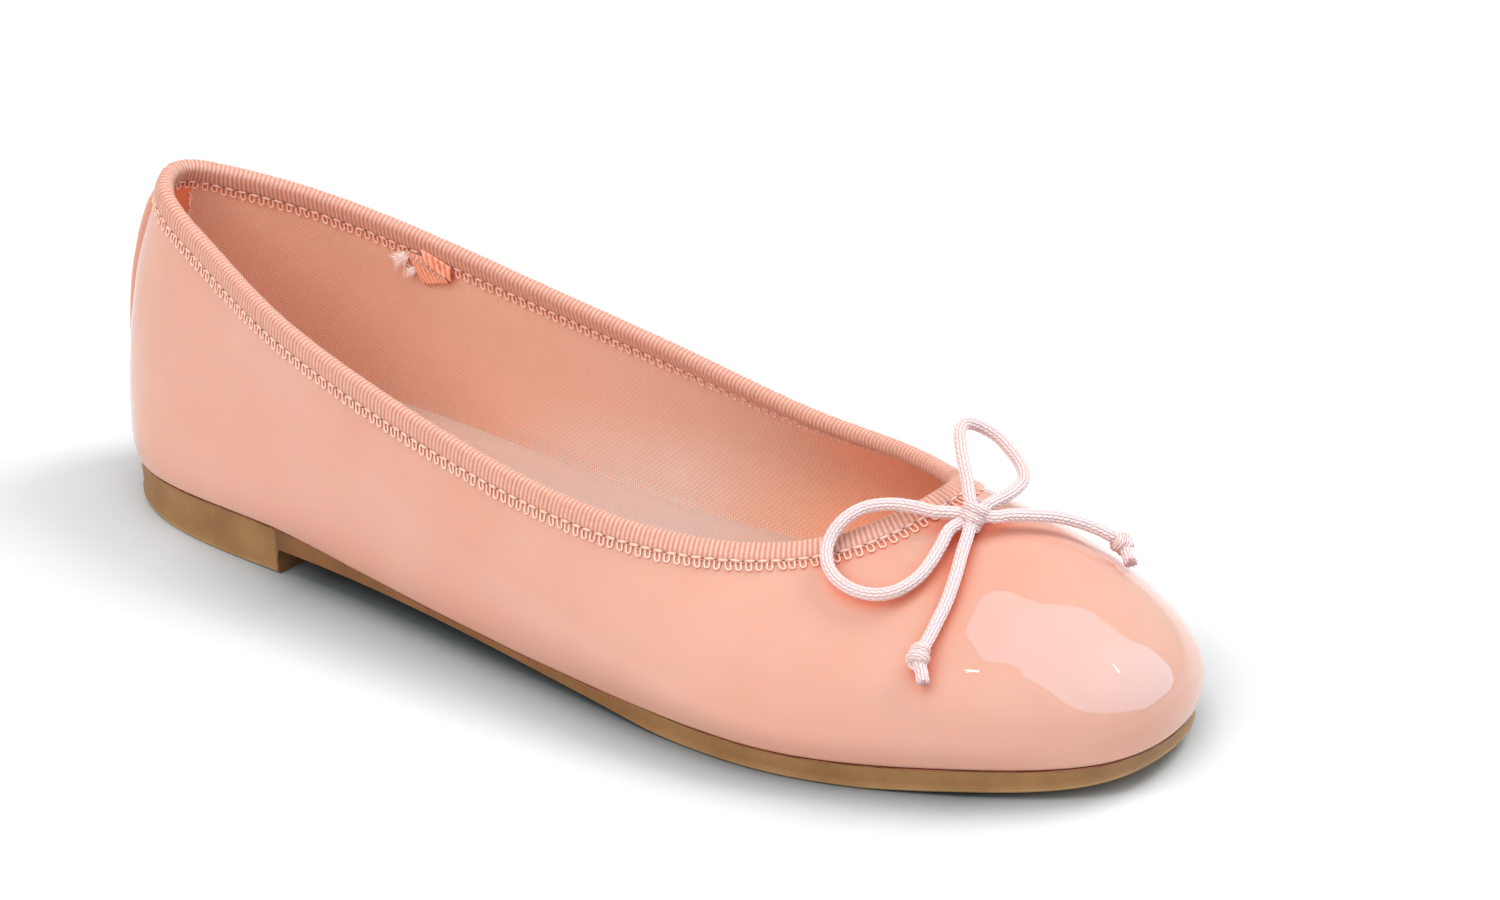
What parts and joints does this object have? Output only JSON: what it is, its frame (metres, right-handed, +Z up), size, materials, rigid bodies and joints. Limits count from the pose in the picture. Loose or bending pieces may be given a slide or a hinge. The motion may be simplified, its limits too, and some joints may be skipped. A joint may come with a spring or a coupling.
{
  "type": "ballet flat",
  "caption": "Right ballet flat in patent leather, its collar bound in ribbed tape, with a cord bow at the throat, a backstay and a thin rubber sole with a low heel",
  "frame": {"origin": "on the floor under the middle of the shoe's box, which is taken without the bow", "axes": "+X to the toe, +Y to the shoe's inner (medial) side, +Z up; the shoe stands on its sole at z = 0"},
  "size_m": [0.2538, 0.0868, 0.0671],
  "materials": {
    "patent_leather": "high-gloss coated leather, coral",
    "sole_rubber": "matte moulded, brown",
    "insole_cloth": "plain-woven cloth, coral",
    "binding_tape": "ribbed woven tape, coral",
    "bow_cord": "braided satin cord, pale pink"
  },
  "bodies": {
    "root": {"outsole": "sole_rubber", "upper": "patent_leather", "insole": "insole_cloth", "backstay": "patent_leather", "collar_binding": "binding_tape", "bow_knot": "bow_cord", "bow_loop_lateral": "bow_cord", "bow_loop_medial": "bow_cord", "bow_tail_lateral": "bow_cord", "bow_tail_medial": "bow_cord", "tail_knot_lateral": "bow_cord", "tail_knot_medial": "bow_cord"}
  },
  "joints": []
}
